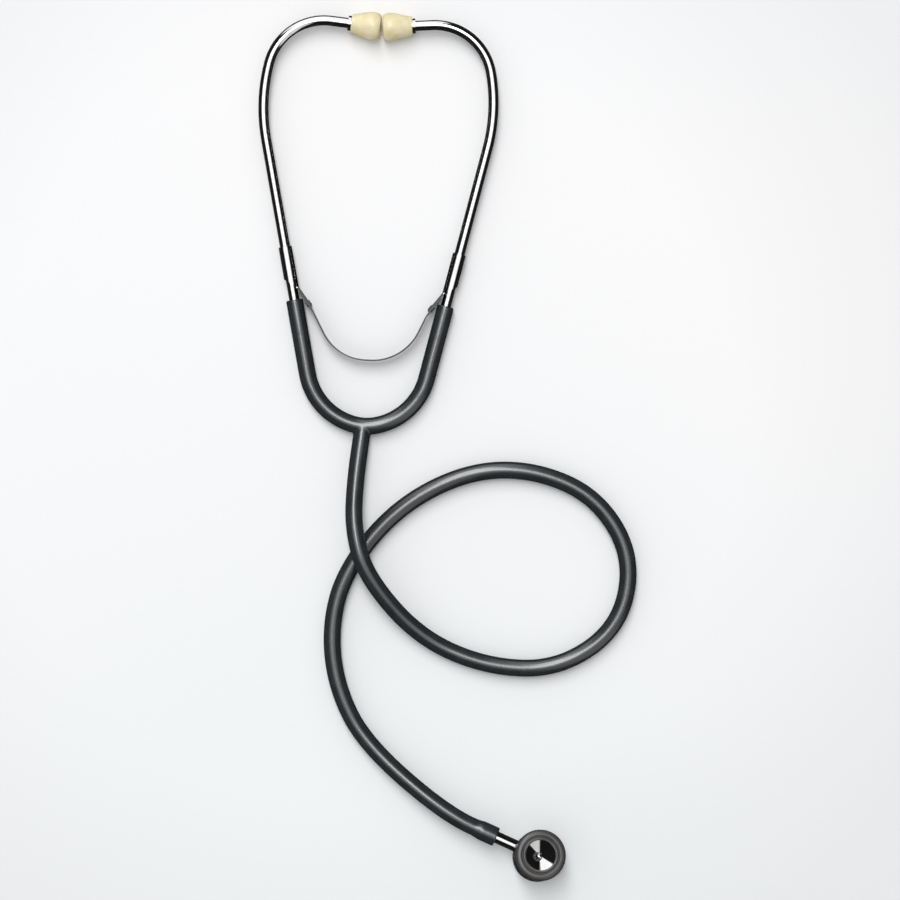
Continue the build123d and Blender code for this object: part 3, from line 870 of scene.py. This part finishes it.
@dataclass
class EarTip:
    """Hard ear tip: an olive with a sound hole and a socket."""

    side: Side
    widest: float = 7.4
    widest_at: float = 4.0
    length: float = 15.5
    back: float = 5.0
    face: float = 4.5
    hole: float = 1.25
    socket: float = 3.25
    socket_floor: float = 7.4
    apex: Flat = (0.5922, 211.51416)
    heading: float = 5.0

    def build(self, plastic: bpy.types.Material) -> bpy.types.Object:
        """Turns the tip about its own axis.

        Args:
            plastic: material of the tips.

        Returns:
            The tip.
        """
        profile = [(0.5, self.hole), (0.1, self.hole + 0.15), (0.0, self.hole + 0.5), (0.0, self.face - 0.6)]
        profile += curve_between(
            [(0.0, self.face), (0.0, (self.face + 2 * self.widest) / 3),
             (self.widest_at / 3, self.widest), (self.widest_at, self.widest)], 14,
        )
        profile += curve_between(
            [(self.widest_at, self.widest), ((3 * self.widest_at + self.length) / 4, self.widest),
             ((self.widest_at + self.length) / 2, (self.widest + self.back) / 2),
             (self.length - 0.5, self.back)], 14,
        )[1:]
        profile += [(self.length - 0.12, self.back - 0.12), (self.length, self.back - 0.5)]
        profile += [(self.length, self.socket + 0.3), (self.length - 0.3, self.socket)]
        profile += [(self.socket_floor, self.socket), (self.socket_floor, self.hole)]
        turn = radians(self.heading)
        back = Vector((self.side.value * cos(turn), sin(turn), 0))
        tilt = headset_matrix()
        start = tilt @ metres((self.side.value * self.apex[0], self.apex[1], 0))
        way = tilt.to_3x3() @ back
        place = Matrix.Translation(start) @ way.to_track_quat("Z", "Y").to_matrix().to_4x4()
        piece = turned(f"{self.side.word}_ear_olive", profile, place)
        give(piece, plastic)
        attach(piece, f"{self.side.word}_tip")
        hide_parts(f"{self.side.word}_ear_tip")
        return piece


@dataclass
class BellRing:
    """Soft rubber ring rolled over the bell's edge."""

    base: Point = (100.655, -222.949, 2.64)  # middle of the rim's face
    up: Point = (0.07789, 0.19277, 0.97815)  # the chest piece leans on its rim

    def build(self, rubber: bpy.types.Material) -> bpy.types.Object:
        """Turns the ring about the chest piece's own leaning axis.

        Args:
            rubber: material of the ring.

        Returns:
            The ring.
        """
        profile = [(15.32, 8.94), (17.62, 8.94), (17.62, 7.9)]
        profile += curve_between([(17.75, 7.86), (18.3, 7.9), (18.5, 8.2), (18.48, 8.7)], 8)
        profile += curve_between([(18.44, 8.9), (18.3, 9.4), (17.9, 9.3), (17.88, 9.6)], 6)
        profile += curve_between([(17.9, 9.75), (18.0, 9.9), (18.5, 10.0), (18.5, 10.7)], 8)
        profile += curve_between([(18.48, 11.0), (18.4, 12.6), (17.6, 13.4), (15.9, 13.4)], 14)
        profile += curve_between([(15.5, 13.4), (14.2, 13.4), (13.3, 13.1), (13.22, 12.2)], 8)
        profile += [(13.2, 10.0), (13.3, 9.45), (13.88, 9.4), (13.88, 10.62), (15.32, 10.62)]
        place = Matrix.Translation(metres(self.base)) @ Vector(self.up).to_track_quat("Z", "Y").to_matrix().to_4x4()
        piece = turned("bell_rubber", profile, place, 128)
        give(piece, rubber)
        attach(piece, "head")
        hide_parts("bell_ring")
        return piece


@dataclass
class HardParts:
    """The frame's own metal and sheet pieces, which keep their shapes and get their finishes."""

    chromed: tuple[str, ...] = (
        "chest_stem", "chest_body", "diaphragm_rim", "left_ear_tube", "right_ear_tube",
        "left_tip_nipple", "right_tip_nipple",
    )
    clips: tuple[str, ...] = ("left_spring_clip", "right_spring_clip")
    steel: tuple[str, ...] = ("detent_ball", "detent_spring", "detent_screw")
    rivets: tuple[str, ...] = ("left_clip_rivet", "right_clip_rivet")

    def dress(self, finishes: dict[str, bpy.types.Material]) -> None:
        """Gives each piece the material of its finish.

        Args:
            finishes: materials by name.
        """
        table = {name: "chrome" for name in self.chromed}
        table.update({name: "clip" for name in self.clips})
        table.update({name: "steel" for name in self.steel})
        table.update({name: "spring" for name in self.rivets})
        table.update({"diaphragm": "sheet", "stem_o_ring": "seal"})
        for name, finish in table.items():
            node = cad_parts[name]
            node.data.materials.clear()
            node.data.materials.append(finishes[finish])


@dataclass
class Studio:
    """Pale table, a long soft lamp overhead, brighter daylight from the left, and the camera."""

    view_centre: Flat = (45.5, -9.74)
    view_width: float = 477.0
    lens: float = 120.0
    sensor: float = 36.0
    roll: float = 2.45
    floor_size: float = 6000.0
    key_way: Point = (-0.12, 0.42, 0.9)
    key_distance: float = 4000.0
    key_size: Flat = (1100.0, 3900.0)
    key_power: float = 110.0
    sky: Flat = (0.73, 0.31)  # brightness at the left and at the right
    shade: float = 0.008  # unlit room, as polished metal shows it
    glows: tuple[tuple[Flat, Flat, float], ...] = (  # middle, reach and strength of each bright part
        ((0.02, 0.02), (0.6, 0.42), 1.2),  # ceiling
        ((-0.33, 0.92), (0.46, 0.32), 1.3),  # window
        ((0.5, -0.58), (0.36, 0.25), 0.8),  # doorway
    )

    def camera(self) -> bpy.types.Object:
        """Places the camera straight above the picture's middle."""
        data = bpy.data.cameras.new("camera")
        data.lens, data.sensor_width = self.lens, self.sensor
        data.clip_end = 100.0
        piece = bpy.data.objects.new("camera", data)
        bpy.context.scene.collection.objects.link(piece)
        height = self.view_width * self.lens / self.sensor
        piece.location = metres((*self.view_centre, height))
        piece.rotation_euler = (0, 0, radians(self.roll))
        bpy.context.scene.camera = piece
        return piece

    def floor(self, finish: bpy.types.Material) -> bpy.types.Object:
        """Lays the table under the object.

        Args:
            finish: material of the table.

        Returns:
            The table's plane.
        """
        deselect()
        bpy.ops.mesh.primitive_plane_add(size=self.floor_size * MILLIMETRE, location=(0, 0, 0))
        piece = bpy.context.object
        piece.name = "table"
        piece.data.materials.append(finish)
        return piece

    def key(self) -> bpy.types.Object:
        """Hangs one long softbox above the object, with its long side along Y."""
        data = bpy.data.lights.new("key", "AREA")
        data.shape, data.energy = "RECTANGLE", self.key_power
        data.size, data.size_y = (side * MILLIMETRE for side in self.key_size)
        piece = bpy.data.objects.new("key", data)
        bpy.context.scene.collection.objects.link(piece)
        target = metres((*self.view_centre, 0))
        piece.location = target + Vector(self.key_way).normalized() * self.key_distance * MILLIMETRE
        piece.rotation_euler = (target - piece.location).to_track_quat("-Z", "Y").to_euler()
        return piece

    def glow(
        self, tree: bpy.types.NodeTree, way: bpy.types.NodeSocket, middle: Flat, reach: Flat,
    ) -> bpy.types.NodeSocket:
        """Makes one oval bright part of the room.

        Args:
            tree: the world's nodes.
            way: direction that is looked up.
            middle: x and y of the direction of the oval's middle.
            reach: half width of the oval in x and y.

        Returns:
            One inside the oval and zero outside, with a soft edge.
        """
        aside = add_node(tree, "ShaderNodeVectorMath", {0: way, 1: (*middle, 0)}, operation="SUBTRACT")
        share = add_node(
            tree, "ShaderNodeVectorMath", {0: aside.outputs[0], 1: (1 / reach[0], 1 / reach[1], 0)},
            operation="MULTIPLY",
        )
        far = add_node(tree, "ShaderNodeVectorMath", {0: share.outputs[0]}, operation="LENGTH")
        edge = add_node(
            tree, "ShaderNodeMapRange", {"Value": far.outputs["Value"], "From Min": 1.12, "From Max": 0.88}
        )
        return edge.outputs[0]

    def world(self) -> None:
        """Lights the room and gives polished metal a dark room with three bright parts to show."""
        world = bpy.data.worlds.new("room")
        bpy.context.scene.world = world
        world.use_nodes = True
        tree = world.node_tree
        tree.nodes.clear()
        place = add_node(tree, "ShaderNodeTexCoord")
        split = add_node(tree, "ShaderNodeSeparateXYZ", {"Vector": place.outputs["Generated"]})
        sky = add_node(
            tree, "ShaderNodeMapRange",
            {"Value": split.outputs["X"], "From Min": -1.0, "From Max": 1.0,
             "To Min": self.sky[0], "To Max": self.sky[1]},
        )
        brightness = self.shade
        for middle, reach, strength in self.glows:
            oval = self.glow(tree, place.outputs["Generated"], middle, reach)
            total = add_node(
                tree, "ShaderNodeMath", {0: oval, 1: strength, 2: brightness}, operation="MULTIPLY_ADD"
            )
            brightness = total.outputs[0]
        lit = add_node(tree, "ShaderNodeBackground", {"Color": sky.outputs[0]})
        room = add_node(tree, "ShaderNodeBackground", {"Color": brightness})
        plain = add_node(tree, "ShaderNodeBackground", {"Color": grey(0.9)})
        path = add_node(tree, "ShaderNodeLightPath")
        polished = add_node(
            tree, "ShaderNodeMixShader",
            {0: path.outputs["Is Glossy Ray"], 1: lit.outputs[0], 2: room.outputs[0]},
        )
        seen = add_node(
            tree, "ShaderNodeMixShader",
            {0: path.outputs["Is Camera Ray"], 1: polished.outputs[0], 2: plain.outputs[0]},
        )
        add_node(tree, "ShaderNodeOutputWorld", {"Surface": seen.outputs[0]})

    def build(self, table: bpy.types.Material) -> None:
        """Sets up floor, lamps and room.

        Args:
            table: material of the floor.
        """
        self.floor(table)
        self.world()
        self.key()
        bpy.context.scene.view_settings.view_transform = "Standard"


def main() -> None:
    """Builds every piece in order and reports it."""
    logging.basicConfig(level=logging.INFO, format="%(name)s: %(message)s")
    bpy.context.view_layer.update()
    studio = Studio()
    studio.camera()
    finishes = {
        "tubing": MouldedRubber("black_tubing_rubber", "#24282a", "#2d3235", 0.25, 1.0).material(),
        "ring": MouldedRubber("grey_ring_rubber", "#393837", "#444241", 0.36, 0.6, bloom_mm=4.0).material(),
        "seal": MouldedRubber("seal_rubber", "#1b1b1b", "#262626", 0.5, 0.4).material(),
        "chrome": PolishedMetal("chrome_plate", "#e6e7e8", "#cfcfcc", 0.05).material(),
        "clip": ClipMetal("plated_clip_painted_dark_tongue", "#e6e7e8", "#cfcfcc", 0.06).material(),
        # painted shade: the leaf spring and the clip rivets get a dark colour so that the strip's edge shows dark
        # instead of reflecting the lamp
        "spring": PolishedMetal("spring_steel_painted_dark", "#3a3c3e", "#474746", 0.32).material(),
        "steel": PolishedMetal("bright_steel", "#b9bbbe", "#9fa0a1", 0.2).material(),
        "ivory": AgedPlastic("ivory_plastic", "#ece2bf", "#dfd0a0", 0.3).material(),
        "sheet": AgedPlastic("glass_cloth_sheet", "#cfcab4", "#c2bca2", 0.42, grain_mm=0.4).material(),
        "table": PaintedTable("pale_table", "#f3f3f4", "#eef1f2", "#1d1d1d").material(),
    }
    studio.build(finishes["table"])
    pieces = [ListeningTube().build(finishes["tubing"])]
    pieces += TubingFork().build(finishes["tubing"])
    pieces.append(StemCuff().build(finishes["tubing"]))
    pieces += LeafSpring().build(finishes["spring"])
    pieces += [EarTip(side).build(finishes["ivory"]) for side in Side]
    pieces.append(BellRing().build(finishes["ring"]))
    HardParts().dress(finishes)
    for piece in pieces:
        log.info("made %s", piece.name)


if __name__ == "__main__":
    main()
